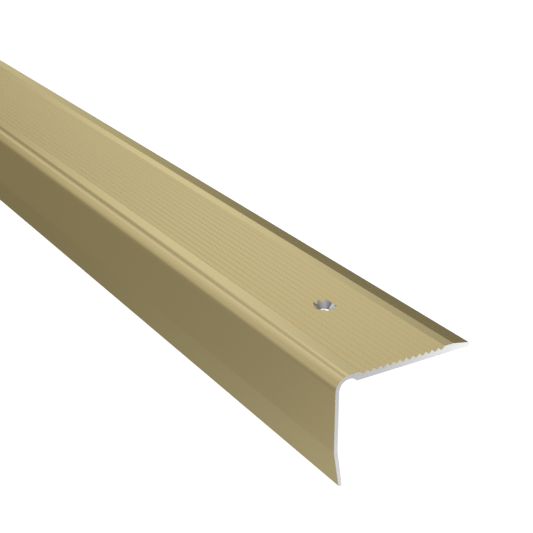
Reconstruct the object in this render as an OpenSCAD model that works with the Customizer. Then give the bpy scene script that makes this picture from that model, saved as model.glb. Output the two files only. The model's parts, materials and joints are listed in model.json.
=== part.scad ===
// Extruded aluminium stair nosing: a grooved tread, a round nose and a riser with a set-in lip,
// drilled and countersunk along the middle of the tread. Millimetres.
// The section is drawn as it sits on a step: Y runs back over the tread from the riser's face,
// Z runs up from the tread's top. The finished length then lies on its two free edges, nose up.

/* [Length] */
// Length of the piece as sold
length = 900; // [150:10:3000]

/* [Tread] */
// Depth over the step, from the riser's face to the rear edge
tread_w = 40; // [30:0.5:80]
// Thickness of the tread
tread_t = 2.1; // [1.9:0.1:3]
// Least flat strip between the nose and the first groove
front_land = 3.1; // [1:0.1:6]
// Least flat strip between the last groove and the rear bevel
rear_land = 2.7; // [1:0.1:6]
// Width of the rear bevel, measured to the rear edge
bevel_w = 5.15; // [3:0.05:9]
// Thickness left at the rear edge, where it is rounded
rear_edge_t = 1.1; // [0.6:0.05:1.6]

/* [Grooves] */
// Distance from groove to groove
groove_pitch = 1.93; // [1:0.01:4]
// Depth of each V-shaped groove below the tread's top
groove_depth = 0.85; // [0.3:0.05:1.2]

/* [Nose and riser] */
// Outer radius of the nose
nose_r = 3.85; // [2.5:0.05:6]
// Wall of the riser and of the nose
riser_t = 1.05; // [0.8:0.05:1.5]
// Height from the lip's lower edge to the tread's top
riser_h = 30; // [22:0.5:60]
// Height of the set-in lip at the foot of the riser
lip_h = 10; // [5:0.5:14]
// Lean of the lip's outer face towards the step, in degrees
lip_lean = 9.25; // [0:0.25:20]
// Thickness of the lip at its rounded end
lip_end_t = 0.9; // [0.5:0.05:1]

/* [Screw holes] */
// Number of holes along the length
hole_count = 4; // [2:1:12]
// Distance of the first and last hole from the ends
hole_inset = 35; // [10:1:60]
// Distance of the row of holes from the riser's face
hole_line = 20.5; // [12:0.5:30]
// Diameter of the drilled hole
hole_d = 3; // [2.5:0.1:4.5]
// Diameter of the countersink at the tread's top
head_d = 6.6; // [5:0.1:7]
// Full angle of the countersink, in degrees
head_angle = 90; // [84:1:100]

/* [Hidden] */

// Fineness of the round edges
$fn = 96;
// Overrun of each cutting tool past the surface it cuts
over = 1;
// Colour of the anodised finish
gold = [0.76, 0.70, 0.52];

// Radius of a rounded edge against half its thickness, so that the round meets both faces cleanly
edge_fullness = 1.06;

// Nose: outer and inner arcs share this centre
nose_c = [nose_r, -nose_r];
nose_in_r = nose_r - riser_t;

// Grooves: as many as fit, centred between the two least strips
groove_band = tread_w - bevel_w - rear_land - nose_r - front_land;
groove_count = floor(groove_band / groove_pitch);
groove_start = nose_r + front_land + (groove_band - groove_count * groove_pitch) / 2;

// Rear edge: the bevel falls to it, and it is rounded about the middle of its thickness
bevel_fall = (tread_t - rear_edge_t) / bevel_w;
rear_edge_r = edge_fullness * rear_edge_t / (2 - edge_fullness * bevel_fall);
rear_c = [tread_w - rear_edge_r, rear_edge_r / edge_fullness - tread_t];

// Lip: it runs from the foot of the riser to an end rounded about the middle of its thickness
lip_top = lip_h - riser_h;
lip_end_r = edge_fullness * lip_end_t / 2;
lip_along = [sin(lip_lean), -cos(lip_lean)];
lip_across = [cos(lip_lean), sin(lip_lean)];
lip_run = (lip_h - lip_end_r + lip_end_t / 2 * sin(lip_lean)) / cos(lip_lean);
lip_c = [0, lip_top] + lip_run * lip_along + lip_end_t / 2 * lip_across;

// Screw holes
hole_step = (length - 2 * hole_inset) / (hole_count - 1);
head_depth = (head_d - hole_d) / 2 / tan(head_angle / 2);

// Rest: the floor touches the round rear edge and the round end of the lip
rest_run = rear_c - lip_c;
rest_angle = acos((lip_end_r - rear_edge_r) / norm(rest_run)) - 90 - atan2(rest_run.y, rest_run.x);
function turned(p) = [
    p.x * cos(rest_angle) - p.y * sin(rest_angle),
    p.x * sin(rest_angle) + p.y * cos(rest_angle)
];
rest_y = (turned(rear_c).x + rear_edge_r + turned(lip_c).x - lip_end_r) / 2;
rest_z = turned(rear_c).y - rear_edge_r;

// Outline with sharp corners: the tread's grooves and bevel, its underside, then the riser and lip
module sharp_section() {
    groove_points = [
        for (i = [0 : groove_count - 1])
            for (p = [[0, 0], [0.5, -groove_depth]])
                [groove_start + (i + p.x) * groove_pitch, p.y]
    ];
    groove_end = [groove_start + groove_count * groove_pitch, 0];
    bevel_start = [tread_w - bevel_w, 0];
    bevel_past = [tread_w + over, rear_edge_t - tread_t - over * bevel_fall];
    lip_inner = [riser_t, lip_top];
    lip_past = (lip_run + lip_end_t + over) / lip_run;
    lip_inner_past = lip_inner + lip_past * (lip_c + lip_end_t / 2 * lip_across - lip_inner);
    lip_outer_past = [0, lip_top] + lip_past * lip_run * lip_along;
    polygon(concat(
        [[0, 0]],
        groove_points,
        [groove_end, bevel_start, bevel_past, [bevel_past.x, -tread_t]],
        [[nose_r, -tread_t], nose_c, [riser_t, -nose_r]],
        [lip_inner, lip_inner_past, lip_outer_past, [0, lip_top]]
    ));
}

// What lies outside a round and past its middle, looking along an angle
module past_round(centre, r, angle) {
    reach = 2 * r + 2 * over;
    translate(centre)
        rotate(angle)
            difference() {
                translate([0, -reach]) square([reach, 2 * reach]);
                circle(r);
            }
}

// Whole section: rounded at the nose and both edges, and hollowed behind the nose,
// where the inner round runs a little way into the tread
module section() {
    difference() {
        sharp_section();
        translate(nose_c)
            difference() {
                translate([-nose_r - over, 0]) square(nose_r + over);
                circle(nose_r);
            }
        translate(nose_c) circle(nose_in_r);
        past_round(rear_c, rear_edge_r, 0);
        past_round(lip_c, lip_end_r, lip_lean - 90);
    }
}

// Drilled hole with its countersink, from the tread's top down
module screw_hole() {
    translate([0, 0, -tread_t - over])
        cylinder(h = tread_t + over, d = hole_d);
    translate([0, 0, -head_depth])
        cylinder(
            h = head_depth + over,
            d1 = hole_d,
            d2 = head_d + 2 * over * tan(head_angle / 2)
        );
}

// The one extruded piece, lying on its free edges with the middle of its length at the origin
module nosing_profile() {
    color(gold)
        translate([0, -rest_y, -rest_z])
            rotate([rest_angle, 0, 0])
                difference() {
                    rotate([90, 0, 90])
                        linear_extrude(length, center = true)
                            section();
                    for (i = [0 : hole_count - 1])
                        translate([hole_inset - length / 2 + i * hole_step, hole_line, 0])
                            screw_hole();
                }
}

nosing_profile();
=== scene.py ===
"""Looks of an extruded aluminium stair nosing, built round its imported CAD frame.

Lengths are in metres. The section is drawn as it sits on a step: Y runs back over the tread from
the riser's face, Z runs up from the tread's top, and X runs along the length towards the camera.
"""

import json
import math
from typing import NamedTuple

import bmesh
import bpy
from bpy.props import FloatProperty, FloatVectorProperty, PointerProperty
from mathutils import Matrix, Vector


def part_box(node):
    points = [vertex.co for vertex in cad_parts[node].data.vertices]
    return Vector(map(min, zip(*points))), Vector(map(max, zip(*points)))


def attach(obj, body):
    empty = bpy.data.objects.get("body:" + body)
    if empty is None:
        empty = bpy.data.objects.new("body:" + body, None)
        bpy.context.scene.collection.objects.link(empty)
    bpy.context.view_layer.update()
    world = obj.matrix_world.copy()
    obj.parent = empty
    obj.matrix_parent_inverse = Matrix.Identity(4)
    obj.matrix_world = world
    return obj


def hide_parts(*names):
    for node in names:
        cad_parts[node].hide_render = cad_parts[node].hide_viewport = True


bl_info = {
    "name": "Stair Nosing",
    "version": (1, 0, 0),
    "blender": (4, 5, 0),
    "location": "View3D > Sidebar > Stair Nosing",
    "description": "Builds a satin anodised stair nosing and its studio round the packed frame",
    "category": "Object",
}

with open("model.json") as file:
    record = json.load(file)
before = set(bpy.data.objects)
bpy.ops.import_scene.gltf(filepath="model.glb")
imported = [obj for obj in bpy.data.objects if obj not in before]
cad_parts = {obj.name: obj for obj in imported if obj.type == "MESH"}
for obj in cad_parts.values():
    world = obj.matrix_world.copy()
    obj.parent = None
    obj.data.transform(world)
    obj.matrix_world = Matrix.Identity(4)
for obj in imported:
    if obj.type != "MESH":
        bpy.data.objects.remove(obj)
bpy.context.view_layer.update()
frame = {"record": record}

NODE = "nosing_profile"
BODY = "root"
MM = 0.001

SCREW_HOLES = [mount for mount in frame["record"]["mounts"] if mount["kind"] == "bore"]
TREAD_NORMAL = Vector(SCREW_HOLES[0]["axis"])
REST_TILT = math.atan2(-TREAD_NORMAL.y, TREAD_NORMAL.z)

# Places of the three finishes in the piece's material list
ANODISED, SAWN, DRILLED = range(3)

# Smoothness of the modelled rounds
ARC_STEP = math.radians(3)
SMALL_ARC_STEP = math.radians(12)
HOLE_SIDES = 128
BREAK_STEPS = 3
SHARP_ANGLE = math.radians(28)

# Noise cells per metre, along the length, over the tread and up
DIE_LINES = (4, 2600, 2600)
SLOW_DRIFT = (9, 60, 60)
SKIN_GRAIN = (7000, 7000, 7000)
SAWN_GRAIN = (6000, 6000, 6000)
TURNED_RINGS = (0, 0, 9000)
TURNED_GRAIN = (5000, 5000, 5000)

# Saw marks: the blade's middle, and noise cells per metre out from it
BLADE_CENTRE = (0, 110 * MM, -95 * MM)
SAW_TEETH = 5200

# Heights and blurs of the grooved area and of the bands that get painted shade, painted highlight or more
# roughness
GROOVED_BLUR = 0.01 * MM
ROOT_BAND = 0.28 * MM
ROOT_BLUR = 0.14 * MM
CREST_BAND = 0.16 * MM
CREST_BLUR = 0.08 * MM
BORE_BAND = 0.6 * MM
BORE_BLUR = 0.02 * MM

# How much painted highlight or painted shade those bands get, and how much rougher they are
CREST_PAINTED_HIGHLIGHT = 0.03
ROOT_PAINTED_SHADE = 0.04
ROOT_ROUGHER = 0.05
BORE_PAINTED_SHADE = 0.35
BORE_ROUGHER = 0.25

# Depths and strengths of the fine relief
SKIN_RELIEF = 0.0006 * MM
SKIN_RELIEF_SHARE = 0.25
TOOL_RELIEF = 0.001 * MM
SAWN_RELIEF_SHARE = 0.06
TURNED_RELIEF_SHARE = 0.2

# Floor and camera
FLOOR_RADIUS = 20
FLOOR_SIDES = 64
FLOOR_ROUGHNESS = 0.9
NEAR_CLIP = 0.01


class SoftBox(NamedTuple):
    """A soft-edged light panel round the piece, placed by angles in degrees as the tread sees them.

    Azimuth 0 lies along the length, away from the camera, and 90 behind the tread's rear edge.
    Lean is how far its sides turn for each degree up. Its light is its glow in its tint.
    """

    name: str
    azimuth: float
    elevation: float
    width: float
    height: float
    side_blur: float
    top_blur: float
    lean: float
    glow: float
    tint: tuple


ALL_ROUND = 800
NEUTRAL = (1, 1, 1)
COOL = (0.93, 1, 1.2)
SOFT_BOXES = (
    SoftBox("far panel", 25, 15, 10, 20, 10, 20, 0.25, 1.1, COOL),
    SoftBox("far strip", -10, 40, 10, 45, 10, 5, 0, 0.6, COOL),
    SoftBox("nose strip", -25, 20, 5, 20, 2, 20, 0.25, 0.4, NEUTRAL),
    SoftBox("side panel", -40, 20, 35, 45, 5, 5, 0.15, 0.22, NEUTRAL),
    SoftBox("upper glow", 0, 50, 80, 55, 10, 20, 0, 0.32, NEUTRAL),
    SoftBox("right upper", 40, 50, 40, 35, 15, 5, 0, 0.45, COOL),
    SoftBox("right low", 40, 20, 25, 10, 5, 5, 0, 0.25, COOL),
    SoftBox("camera ceiling", -165, 55, 155, 50, 55, 30, 0, 0.25, NEUTRAL),
    SoftBox("side floor", -55, -5, 80, 55, 35, 10, 0, 0.18, NEUTRAL),
    SoftBox("lip glow", -55, -45, 40, 25, 5, 10, 0, 0.45, NEUTRAL),
    SoftBox("foreground", 0, -90, ALL_ROUND, 95, 15, 20, 0, 0.6, COOL),
    SoftBox("end card", 130, -35, 15, 25, 2, 5, 0.2, 1.5, NEUTRAL),
    SoftBox("left wall", -110, 15, 80, 55, 10, 10, 0, 0.45, NEUTRAL),
    SoftBox("rear ceiling", 80, 60, 60, 20, 10, 5, 0, 0.45, NEUTRAL),
    SoftBox("zenith", 0, 90, ALL_ROUND, 40, 15, 5, 0, 0.8, NEUTRAL),
    SoftBox("behind glow", -165, -40, 95, 25, 30, 5, 0, 1, NEUTRAL),
)
ROOM_GLOW = (0.15, 0.15, 0.15)


def length_prop(name, description, default):
    """A length that a user would change, in metres."""
    return FloatProperty(name=name, description=description, default=default, unit="LENGTH", precision=5)


def colour_prop(name, description, default):
    """A linear colour that a user would change."""
    return FloatVectorProperty(
        name=name, description=description, default=default, subtype="COLOR", size=3, min=0, max=1
    )


def share_prop(name, description, default):
    """A share between 0 and 1 that a user would change."""
    return FloatProperty(
        name=name, description=description, default=default, min=0, max=1, subtype="FACTOR"
    )


def angle_prop(name, description, degrees):
    """An angle that a user would change, given in degrees."""
    return FloatProperty(
        name=name, description=description, default=math.radians(degrees), subtype="ANGLE", unit="ROTATION"
    )


class NosingSizes(bpy.types.PropertyGroup):
    """Sizes of the section and of its holes."""

    tread_w: length_prop("Tread depth", "From the riser's face to the rear edge", 40 * MM)
    tread_t: length_prop("Tread thickness", "Thickness of the tread", 2.1 * MM)
    bevel_w: length_prop("Bevel width", "Width of the rear bevel", 5.15 * MM)
    rear_edge_t: length_prop("Rear edge", "Thickness left at the rear edge", 1.1 * MM)
    rear_edge_r: length_prop("Rear edge round", "Radius of the rear edge's corners", 0.54 * MM)
    groove_start: length_prop("First groove", "From the riser's face to the first groove", 7.005 * MM)
    groove_pitch: length_prop("Groove pitch", "Distance from groove to groove", 1.93 * MM)
    groove_depth: length_prop("Groove depth", "Depth of each groove", 0.85 * MM)
    crest_r: length_prop("Crest round", "Radius of the grooves' crests", 0.02 * MM)
    root_r: length_prop("Root round", "Radius of the grooves' roots", 0.08 * MM)
    nose_r: length_prop("Nose radius", "Outer radius of the nose", 3.85 * MM)
    riser_t: length_prop("Riser thickness", "Wall of the riser and of the nose", 1.05 * MM)
    riser_h: length_prop("Riser height", "From the lip's lower edge to the tread's top", 30 * MM)
    lip_h: length_prop("Lip height", "Height of the set-in lip", 10 * MM)
    lip_lean: angle_prop("Lip lean", "Lean of the lip towards the step", 9.25)
    lip_end_t: length_prop("Lip end", "Thickness of the lip at its end", 0.9 * MM)
    lip_end_r: length_prop("Lip end round", "Radius of the lip end's corners", 0.42 * MM)
    fold_r: length_prop("Fold round", "Radius at the folds of the lip and of the bevel", 0.5 * MM)
    hole_line: length_prop("Hole line", "From the riser's face to the row of holes", 20.5 * MM)
    head_d: length_prop("Countersink", "Diameter of the countersink at the tread's top", 6.6 * MM)
    saw_edge: length_prop("Sawn edge", "Edge break round the outer side of the sawn ends", 0.008 * MM)
    deburr: length_prop("Deburred edge", "Rounded edge break under the sawn ends", 0.04 * MM)


class NosingLooks(bpy.types.PropertyGroup):
    """Colours of the finishes."""

    gold: colour_prop("Anodised colour", "Champagne gold of the anodised skin", (0.825, 0.68, 0.349))
    gold_edge: colour_prop("Edge tint", "Tint that the gold keeps at a grazing look", (0.91, 0.84, 0.60))
    gold_roughness: share_prop("Anodised roughness", "Satin roughness of the skin", 0.25)
    bare: colour_prop("Bare metal", "Aluminium of the sawn ends", (0.90, 0.90, 0.90))
    bare_roughness: share_prop("Sawn roughness", "Roughness of the sawn ends", 0.2)
    drilled: colour_prop("Drilled metal", "Aluminium of the drilled holes", (0.87, 0.87, 0.87))
    drilled_roughness: share_prop("Drilled roughness", "Roughness of the drilled holes", 0.16)
    floor: colour_prop("Floor", "Light that the glowing white floor gives back", (0.3, 0.3, 0.3))


class NosingView(bpy.types.PropertyGroup):
    """Where the camera stands, from the near end's corner of riser face and tread top."""

    along: length_prop("Along", "Past the near end", 210.05 * MM)
    behind: length_prop("Behind", "Behind the riser's face", -147.4 * MM)
    above: length_prop("Above", "Above the tread's top", 141.0 * MM)
    heading: angle_prop("Heading", "Turn from the length towards the tread's back", 31.475)
    pitch: angle_prop("Pitch", "Look down on the tread", 23.715)
    lens: FloatProperty(name="Lens", description="Focal length", default=85, unit="CAMERA")


class Signal:
    """A socket's value. Arithmetic on it adds Math nodes to its tree."""

    def __init__(self, nodes, socket):
        self.nodes = nodes
        self.socket = socket

    def maths(self, operation, *terms):
        return self.nodes.add("ShaderNodeMath", {"operation": operation}, dict(enumerate(terms)))

    def __add__(self, other):
        return self.maths("ADD", self, other)

    def __radd__(self, other):
        return self.maths("ADD", other, self)

    def __sub__(self, other):
        return self.maths("SUBTRACT", self, other)

    def __rsub__(self, other):
        return self.maths("SUBTRACT", other, self)

    def __mul__(self, other):
        return self.maths("MULTIPLY", self, other)

    def __rmul__(self, other):
        return self.maths("MULTIPLY", other, self)

    def __abs__(self):
        return self.maths("ABSOLUTE", self)


class Nodes:
    """Adds nodes to the emptied node tree of a material or a world."""

    def __init__(self, owner):
        owner.use_nodes = True
        self.tree = owner.node_tree
        self.tree.nodes.clear()

    def add(self, kind, settings=None, sockets=None, output=0):
        """A node of that kind, with its settings, then its sockets' values or links; its output."""
        node = self.tree.nodes.new(kind)
        for name, value in (settings or {}).items():
            setattr(node, name, value)
        for name, value in (sockets or {}).items():
            if isinstance(value, Signal):
                self.tree.links.new(value.socket, node.inputs[name])
            else:
                node.inputs[name].default_value = value
        return Signal(self, node.outputs[output]) if node.outputs else node

    def section_place(self, sizes, scale=(1, 1, 1)):
        """Place in the section's axes, scaled along the length, over the tread and up."""
        place = self.add("ShaderNodeTexCoord", output="Object")
        back = section_to_rest(sizes).inverted()
        turn = {"Vector": place, "Location": back.translation, "Rotation": back.to_euler()}
        turned = self.add("ShaderNodeMapping", {"vector_type": "POINT"}, turn)
        return self.add("ShaderNodeVectorMath", {"operation": "MULTIPLY"}, {0: turned, 1: scale})

    def parts(self, vector):
        """The three parts of a vector."""
        apart = self.add("ShaderNodeSeparateXYZ", None, {"Vector": vector})
        return [Signal(self, socket) for socket in apart.socket.node.outputs]

    def noise(self, place, detail=2.0, roughness=0.5):
        """Noise about 0, from about -0.5 to 0.5."""
        sockets = {"Vector": place, "Scale": 1.0, "Detail": detail, "Roughness": roughness}
        return self.add("ShaderNodeTexNoise", {"noise_dimensions": "3D"}, sockets) - 0.5

    def shade(self, colour, amount):
        """The colour, made lighter or darker by a share."""
        sockets = {0: tuple(colour), "Scale": amount + 1.0}
        return self.add("ShaderNodeVectorMath", {"operation": "SCALE"}, sockets)

    def fade(self, offset, size, blur):
        """1 within a size, falling to 0 over a blur on both sides of its edge."""
        sockets = {
            "Value": offset,
            "From Min": size / 2 - blur,
            "From Max": size / 2 + blur,
            "To Min": 1.0,
            "To Max": 0.0,
        }
        return self.add("ShaderNodeMapRange", {"interpolation_type": "SMOOTHSTEP"}, sockets)

    def bump(self, height, distance, strength):
        sockets = {"Height": height, "Distance": distance, "Strength": strength}
        return self.add("ShaderNodeBump", None, sockets)

    def metal(self, colour, roughness, normal, edge_tint=(1, 1, 1, 1)):
        """The finished metal, wired to the material's output."""
        sockets = {
            "Base Color": colour,
            "Roughness": roughness,
            "Normal": normal,
            "Metallic": 1.0,
            "Specular Tint": edge_tint,
        }
        surface = self.add("ShaderNodeBsdfPrincipled", None, sockets)
        self.add("ShaderNodeOutputMaterial", None, {"Surface": surface})


def anodised_finish(looks, sizes):
    """Satin anodised skin: die lines and fine grain, groove roots rougher and darkened with painted shade,
    crests lightened with a painted highlight.
    """
    material = bpy.data.materials.new("satin_champagne_anodised")
    nodes = Nodes(material)
    die_lines = nodes.noise(nodes.section_place(sizes, DIE_LINES), detail=3)
    drift = nodes.noise(nodes.section_place(sizes, SLOW_DRIFT))
    grain = nodes.noise(nodes.section_place(sizes, SKIN_GRAIN), detail=1)

    _, across, up = nodes.parts(nodes.section_place(sizes))
    first, last = sizes.groove_start, groove_end(sizes)
    grooved = nodes.fade(abs(across - (first + last) / 2), last - first, GROOVED_BLUR)
    root = grooved * nodes.fade(abs(up + sizes.groove_depth), ROOT_BAND, ROOT_BLUR)
    crest = grooved * nodes.fade(abs(up), CREST_BAND, CREST_BLUR)

    mottle = die_lines * 0.02 + drift * 0.03 + grain * 0.015
    # Groove crests get a painted highlight, and groove roots get painted shade
    colour = nodes.shade(looks.gold, mottle + crest * CREST_PAINTED_HIGHLIGHT - root * ROOT_PAINTED_SHADE)
    satin = die_lines * 0.04 + grain * 0.02 + drift * 0.03
    roughness = satin + root * ROOT_ROUGHER + looks.gold_roughness
    normal = nodes.bump(die_lines * 0.6 + grain * 0.4, SKIN_RELIEF, SKIN_RELIEF_SHARE)
    nodes.metal(colour, roughness, normal, (*looks.gold_edge, 1))
    return material


def sawn_finish(looks, sizes):
    """Bare aluminium off the saw: wide arcs left by the blade's teeth."""
    material = bpy.data.materials.new("sawn_bare_aluminium")
    nodes = Nodes(material)
    place = nodes.section_place(sizes, (0, 1, 1))
    sockets = {0: place, 1: BLADE_CENTRE}
    reach = nodes.add("ShaderNodeVectorMath", {"operation": "DISTANCE"}, sockets, "Value")
    sweep = nodes.add("ShaderNodeCombineXYZ", None, {"X": reach * SAW_TEETH})
    teeth = nodes.noise(sweep, detail=3)
    grain = nodes.noise(nodes.section_place(sizes, SAWN_GRAIN), detail=1)
    colour = nodes.shade(looks.bare, teeth * 0.02 + grain * 0.015)
    roughness = teeth * 0.03 + grain * 0.02 + looks.bare_roughness
    normal = nodes.bump(teeth * 0.7 + grain * 0.3, TOOL_RELIEF, SAWN_RELIEF_SHARE)
    nodes.metal(colour, roughness, normal)
    return material


def drilled_finish(looks, sizes):
    """Bare aluminium turned by the countersink: fine rings down the hole."""
    material = bpy.data.materials.new("turned_bare_aluminium")
    nodes = Nodes(material)
    rings = nodes.noise(nodes.section_place(sizes, TURNED_RINGS), detail=3)
    grain = nodes.noise(nodes.section_place(sizes, TURNED_GRAIN), detail=1)
    up = nodes.parts(nodes.section_place(sizes))[2]
    bore = nodes.fade(abs(up + sizes.tread_t), BORE_BAND, BORE_BLUR)
    # The bore below the countersink gets painted shade deep in the hole, and is made rougher
    colour = nodes.shade(looks.drilled, rings * 0.05 + grain * 0.03 - bore * BORE_PAINTED_SHADE)
    roughness = rings * 0.04 + grain * 0.02 + bore * BORE_ROUGHER + looks.drilled_roughness
    normal = nodes.bump(rings * 0.8 + grain * 0.2, TOOL_RELIEF, TURNED_RELIEF_SHARE)
    nodes.metal(colour, roughness, normal)
    return material


def groove_count(sizes):
    """As many grooves as fit before the rear flat."""
    last_start = sizes.tread_w - sizes.bevel_w - 2 * sizes.groove_pitch
    return round((last_start - sizes.groove_start) / sizes.groove_pitch) + 1


def groove_end(sizes):
    """From the riser's face to the last groove's rear crest."""
    return sizes.groove_start + groove_count(sizes) * sizes.groove_pitch


def arc_points(centre, radius, start, end, step):
    """Points on an arc, both ends included, at most a step apart."""
    count = max(2, math.ceil(abs(end - start) / step))
    angles = [start + (end - start) * i / count for i in range(count + 1)]
    return [centre + radius * Vector((math.cos(a), math.sin(a))) for a in angles]


def rounded_corner(before, corner, after, radius, step):
    """Points of the arc that rounds a corner, tangent to both of its sides."""
    to_before = (before - corner).normalized()
    to_after = (after - corner).normalized()
    half = to_before.angle(to_after) / 2
    centre = corner + (to_before + to_after).normalized() * (radius / math.sin(half))
    first = corner + to_before * (radius / math.tan(half)) - centre
    last = corner + to_after * (radius / math.tan(half)) - centre
    start = math.atan2(first.y, first.x)
    sweep = math.remainder(math.atan2(last.y, last.x) - start, math.tau)
    return arc_points(centre, radius, start, start + sweep, step)


def nosing_outline(sizes):
    """The closed section: tread top, bevel, rear edge, underside, nose inside, riser and lip."""
    lip_along = Vector((math.sin(sizes.lip_lean), -math.cos(sizes.lip_lean)))
    lip_across = Vector((math.cos(sizes.lip_lean), math.sin(sizes.lip_lean)))
    lip_top = Vector((0, sizes.lip_h - sizes.riser_h))
    lip_run = (sizes.lip_h + lip_across.y * sizes.lip_end_t * 0.5) / math.cos(sizes.lip_lean)
    lip_end = lip_top + lip_along * lip_run
    nose_centre = Vector((sizes.nose_r, -sizes.nose_r))
    inner_r = sizes.nose_r - sizes.riser_t
    inner_end = math.asin((sizes.nose_r - sizes.tread_t) / inner_r)

    corners = [(Vector((0, 0)), sizes.nose_r, ARC_STEP)]
    for groove in range(groove_count(sizes)):
        crest = sizes.groove_start + groove * sizes.groove_pitch
        root = Vector((crest + sizes.groove_pitch / 2, -sizes.groove_depth))
        corners.append((Vector((crest, 0)), sizes.crest_r, SMALL_ARC_STEP))
        corners.append((root, sizes.root_r, SMALL_ARC_STEP))
    corners += [
        (Vector((groove_end(sizes), 0)), sizes.crest_r, SMALL_ARC_STEP),
        (Vector((sizes.tread_w - sizes.bevel_w, 0)), sizes.fold_r, ARC_STEP),
        (Vector((sizes.tread_w, sizes.rear_edge_t - sizes.tread_t)), sizes.rear_edge_r, ARC_STEP),
        (Vector((sizes.tread_w, -sizes.tread_t)), sizes.rear_edge_r, ARC_STEP),
    ]
    nose_inside = arc_points(nose_centre, inner_r, inner_end, math.pi, ARC_STEP)
    corners += [(point, 0, ARC_STEP) for point in nose_inside]
    corners += [
        (lip_top + Vector((sizes.riser_t, 0)), sizes.fold_r, ARC_STEP),
        (lip_end + lip_across * sizes.lip_end_t, sizes.lip_end_r, SMALL_ARC_STEP),
        (lip_end, sizes.lip_end_r, SMALL_ARC_STEP),
        (lip_top, sizes.fold_r, ARC_STEP),
    ]

    outline = []
    for i, (corner, radius, step) in enumerate(corners):
        if radius:
            before, after = corners[i - 1][0], corners[(i + 1) % len(corners)][0]
            outline += rounded_corner(before, corner, after, radius, step)
        else:
            outline.append(corner)
    return outline


def break_sizes(outline, outer, under):
    """Inward direction and size of the edge break at each point of the outline, which runs clockwise."""
    breaks = []
    for i, point in enumerate(outline):
        ahead = (outline[(i + 1) % len(outline)] - point).normalized()
        behind = (point - outline[i - 1]).normalized()
        inward = Vector((ahead.y + behind.y, -ahead.x - behind.x)).normalized()
        lean = inward.dot(Vector((ahead.y, -ahead.x)))
        breaks.append((inward / lean, outer + (under - outer) * max(inward.y, 0)))
    return breaks


def bar_mesh(outline, length, outer, under):
    """The outline drawn out along the length, with its edges broken round both sawn ends."""
    bm = bmesh.new()
    breaks = break_sizes(outline, outer, under)
    turns = [math.pi / 2 * i / BREAK_STEPS for i in range(BREAK_STEPS + 1)]
    stations = [(-1, turn) for turn in turns] + [(1, turn) for turn in reversed(turns)]
    rings = []
    for end, turn in stations:
        ring = []
        for point, (inward, size) in zip(outline, breaks):
            place = point + inward * (size * (1 - math.sin(turn)))
            along = end * (length / 2 - size * (1 - math.cos(turn)))
            ring.append(bm.verts.new((along, place.x, place.y)))
        rings.append(ring)
    for ring in (rings[0], rings[-1]):
        bm.faces.new(ring).material_index = SAWN
    for station, (here, there) in enumerate(zip(rings, rings[1:])):
        finish = ANODISED if station == BREAK_STEPS else SAWN
        for i in range(len(outline)):
            j = (i + 1) % len(outline)
            bm.faces.new((here[i], here[j], there[j], there[i])).material_index = finish
    return bm


def add_hole_cutter(bm, place, sizes, drill_r):
    """A closed drill and countersink on the hole's axis, as a solid to cut with."""
    over = sizes.tread_t / 2
    head_r = sizes.head_d / 2
    profile = (
        (drill_r, -sizes.tread_t - over),
        (drill_r, drill_r - head_r),
        (head_r + over, over),
    )
    rings = []
    for radius, height in profile:
        turns = [math.tau * i / HOLE_SIDES for i in range(HOLE_SIDES)]
        ring = [place + Vector((radius * math.cos(a), radius * math.sin(a), height)) for a in turns]
        rings.append([bm.verts.new(point) for point in ring])
    faces = [bm.faces.new(rings[0]), bm.faces.new(rings[-1])]
    for lower, upper in zip(rings, rings[1:]):
        for i in range(HOLE_SIDES):
            j = (i + 1) % HOLE_SIDES
            faces.append(bm.faces.new((lower[i], lower[j], upper[j], upper[i])))
    for face in faces:
        face.material_index = DRILLED


def finished_mesh(bm, name, materials):
    """A mesh of what was modelled, with its faces turned outwards."""
    bmesh.ops.recalc_face_normals(bm, faces=bm.faces)
    mesh = bpy.data.meshes.new(name)
    bm.to_mesh(mesh)
    bm.free()
    for material in materials:
        mesh.materials.append(material)
    return mesh


def placed_object(name, mesh):
    """A new object of that mesh in the scene."""
    piece = bpy.data.objects.new(name, mesh)
    bpy.context.scene.collection.objects.link(piece)
    return piece


def cut_away(piece, cutter):
    """Cuts one object out of another and removes the cutter."""
    cut = piece.modifiers.new("holes", "BOOLEAN")
    cut.operation = "DIFFERENCE"
    cut.solver = "EXACT"
    cut.object = cutter
    keep_modified(piece)
    bpy.data.objects.remove(cutter)


def keep_modified(piece):
    """Makes what the piece's modifiers give its own mesh."""
    graph = bpy.context.evaluated_depsgraph_get()
    mesh = bpy.data.meshes.new_from_object(piece.evaluated_get(graph))
    piece.modifiers.clear()
    piece.data = mesh


def crisp_shading(piece):
    """Smooth rounds, flat faces, and sharp edges where a face turns hard or the finish changes."""
    bm = bmesh.new()
    bm.from_mesh(piece.data)
    for face in bm.faces:
        face.smooth = True
    for edge in bm.edges:
        finishes = {face.material_index for face in edge.link_faces}
        edge.smooth = len(finishes) == 1 and edge.calc_face_angle(math.pi) < SHARP_ANGLE
    bm.to_mesh(piece.data)
    bm.free()
    weighting = piece.modifiers.new("flat faces lead", "WEIGHTED_NORMAL")
    weighting.mode = "FACE_AREA"
    weighting.weight = 100
    weighting.keep_sharp = True
    keep_modified(piece)


def section_to_rest(sizes):
    """From the section's axes to the frame, by the screw holes' own place and axis."""
    turn = Matrix.Rotation(REST_TILT, 4, "X")
    hole = SCREW_HOLES[0]
    bore_middle = hole["dims"]["length_mm"] * MM / 2 - sizes.tread_t
    offset = Vector(hole["pos_m"]) - turn @ Vector((hole["pos_m"][0], sizes.hole_line, bore_middle))
    return Matrix.Translation(offset) @ turn


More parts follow.
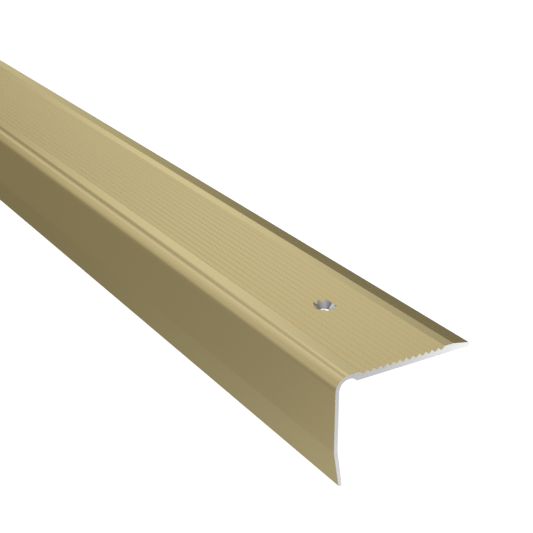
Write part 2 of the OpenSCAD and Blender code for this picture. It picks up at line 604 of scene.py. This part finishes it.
class NOSING_OT_profile(bpy.types.Operator):
    """Build the grooved, drilled and sawn nosing profile over its CAD solid"""

    bl_idname = "nosing.profile"
    bl_label = "Nosing Profile"

    def execute(self, context):
        sizes = context.scene.nosing_sizes
        looks = context.scene.nosing_looks
        materials = [finish(looks, sizes) for finish in (anodised_finish, sawn_finish, drilled_finish)]
        low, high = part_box(NODE)
        rest = section_to_rest(sizes)

        bar = bar_mesh(nosing_outline(sizes), high.x - low.x, sizes.saw_edge, sizes.deburr)
        piece = placed_object("anodised_profile", finished_mesh(bar, "anodised_profile", materials))
        drills = bmesh.new()
        for hole in SCREW_HOLES:
            top = rest.inverted() @ Vector(hole["pos_m"])
            top.z = 0
            add_hole_cutter(drills, top, sizes, hole["dims"]["r_mm"] * MM)
        cut_away(piece, placed_object("drills", finished_mesh(drills, "drills", materials)))
        crisp_shading(piece)
        piece.data.transform(rest)

        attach(piece, BODY)
        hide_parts(NODE)
        return {"FINISHED"}


def dome_light(boxes):
    """Plain soft studio light: a dim room with soft white panels, white to the camera."""
    world = bpy.data.worlds.new("studio")
    nodes = Nodes(world)
    place = nodes.add("ShaderNodeTexCoord", output="Generated")
    turn = {"Vector": place, "Rotation": (-REST_TILT, 0, 0)}
    turned = nodes.add("ShaderNodeMapping", {"vector_type": "POINT"}, turn)
    along, back, up = nodes.parts(turned)
    azimuth = back.maths("ARCTAN2", back, 0 - along) * math.degrees(1)
    elevation = up.maths("ARCSINE", up) * math.degrees(1)

    light = ROOM_GLOW
    for box in boxes:
        turned_from = azimuth - (elevation - box.elevation) * box.lean - box.azimuth
        across = abs(turned_from.maths("WRAP", turned_from, -180, 180))
        upward = abs(elevation - box.elevation)
        sideways = nodes.fade(across, box.width, box.side_blur)
        share = sideways * nodes.fade(upward, box.height, box.top_blur)
        sockets = {0: share * box.glow, 1: box.tint, 2: light}
        light = nodes.add("ShaderNodeVectorMath", {"operation": "MULTIPLY_ADD"}, sockets)

    studio = nodes.add("ShaderNodeBackground", None, {"Color": light})
    backdrop = nodes.add("ShaderNodeBackground", None, {"Color": (1, 1, 1, 1)})
    seen = nodes.add("ShaderNodeLightPath", output="Is Camera Ray")
    shown = nodes.add("ShaderNodeMixShader", None, {"Fac": seen, 1: studio, 2: backdrop})
    nodes.add("ShaderNodeOutputWorld", None, {"Surface": shown})
    return world


def floor_finish(looks):
    """A plain bright floor, lit through so that it stays pale under the piece."""
    material = bpy.data.materials.new("plain_pale_floor")
    nodes = Nodes(material)
    sockets = {
        "Base Color": (*looks.floor, 1),
        "Roughness": FLOOR_ROUGHNESS,
        "Emission Color": (1, 1, 1, 1),
        "Emission Strength": 1.0,
    }
    surface = nodes.add("ShaderNodeBsdfPrincipled", None, sockets)
    nodes.add("ShaderNodeOutputMaterial", None, {"Surface": surface})
    return material


class NOSING_OT_stage(bpy.types.Operator):
    """Set up the pale floor, the soft studio light and the camera"""

    bl_idname = "nosing.stage"
    bl_label = "Stage"

    def execute(self, context):
        scene = context.scene
        self.lay_floor(scene.nosing_looks)
        scene.world = dome_light(SOFT_BOXES)
        scene.camera = self.stand_camera(scene.nosing_view, section_to_rest(scene.nosing_sizes))
        scene.view_settings.view_transform = "Standard"
        return {"FINISHED"}

    def lay_floor(self, looks):
        bm = bmesh.new()
        bmesh.ops.create_circle(bm, cap_ends=True, radius=FLOOR_RADIUS, segments=FLOOR_SIDES)
        floor = placed_object("floor", finished_mesh(bm, "floor", [floor_finish(looks)]))
        floor.visible_glossy = False

    def stand_camera(self, view, rest):
        near_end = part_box(NODE)[1].x
        level = Vector((-math.cos(view.heading), math.sin(view.heading), 0))
        down = Vector((0, 0, -1))
        ahead = level * math.cos(view.pitch) + down * math.sin(view.pitch)
        right = ahead.cross(-down).normalized()
        stand = Matrix((right, right.cross(ahead), -ahead)).transposed().to_4x4()
        stand.translation = (near_end + view.along, view.behind, view.above)
        camera = bpy.data.objects.new("camera", bpy.data.cameras.new("camera"))
        bpy.context.scene.collection.objects.link(camera)
        camera.data.lens = view.lens
        camera.data.clip_start = NEAR_CLIP
        camera.matrix_world = rest @ stand
        return camera


class NOSING_PT_panel(bpy.types.Panel):
    """Lists the nosing's operators"""

    bl_idname = "NOSING_PT_panel"
    bl_label = "Stair Nosing"
    bl_space_type = "VIEW_3D"
    bl_region_type = "UI"
    bl_category = "Stair Nosing"

    def draw(self, context):
        for operator in OPERATORS:
            self.layout.operator(operator.bl_idname)


OPERATORS = (NOSING_OT_profile, NOSING_OT_stage)
GROUPS = {"nosing_sizes": NosingSizes, "nosing_looks": NosingLooks, "nosing_view": NosingView}
CLASSES = (*GROUPS.values(), *OPERATORS, NOSING_PT_panel)


def register():
    for cls in CLASSES:
        bpy.utils.register_class(cls)
    for name, group in GROUPS.items():
        setattr(bpy.types.Scene, name, PointerProperty(type=group))


def unregister():
    for name in GROUPS:
        delattr(bpy.types.Scene, name)
    for cls in reversed(CLASSES):
        bpy.utils.unregister_class(cls)


def main():
    register()
    bpy.ops.nosing.profile()
    bpy.ops.nosing.stage()


if __name__ == "__main__":
    main()
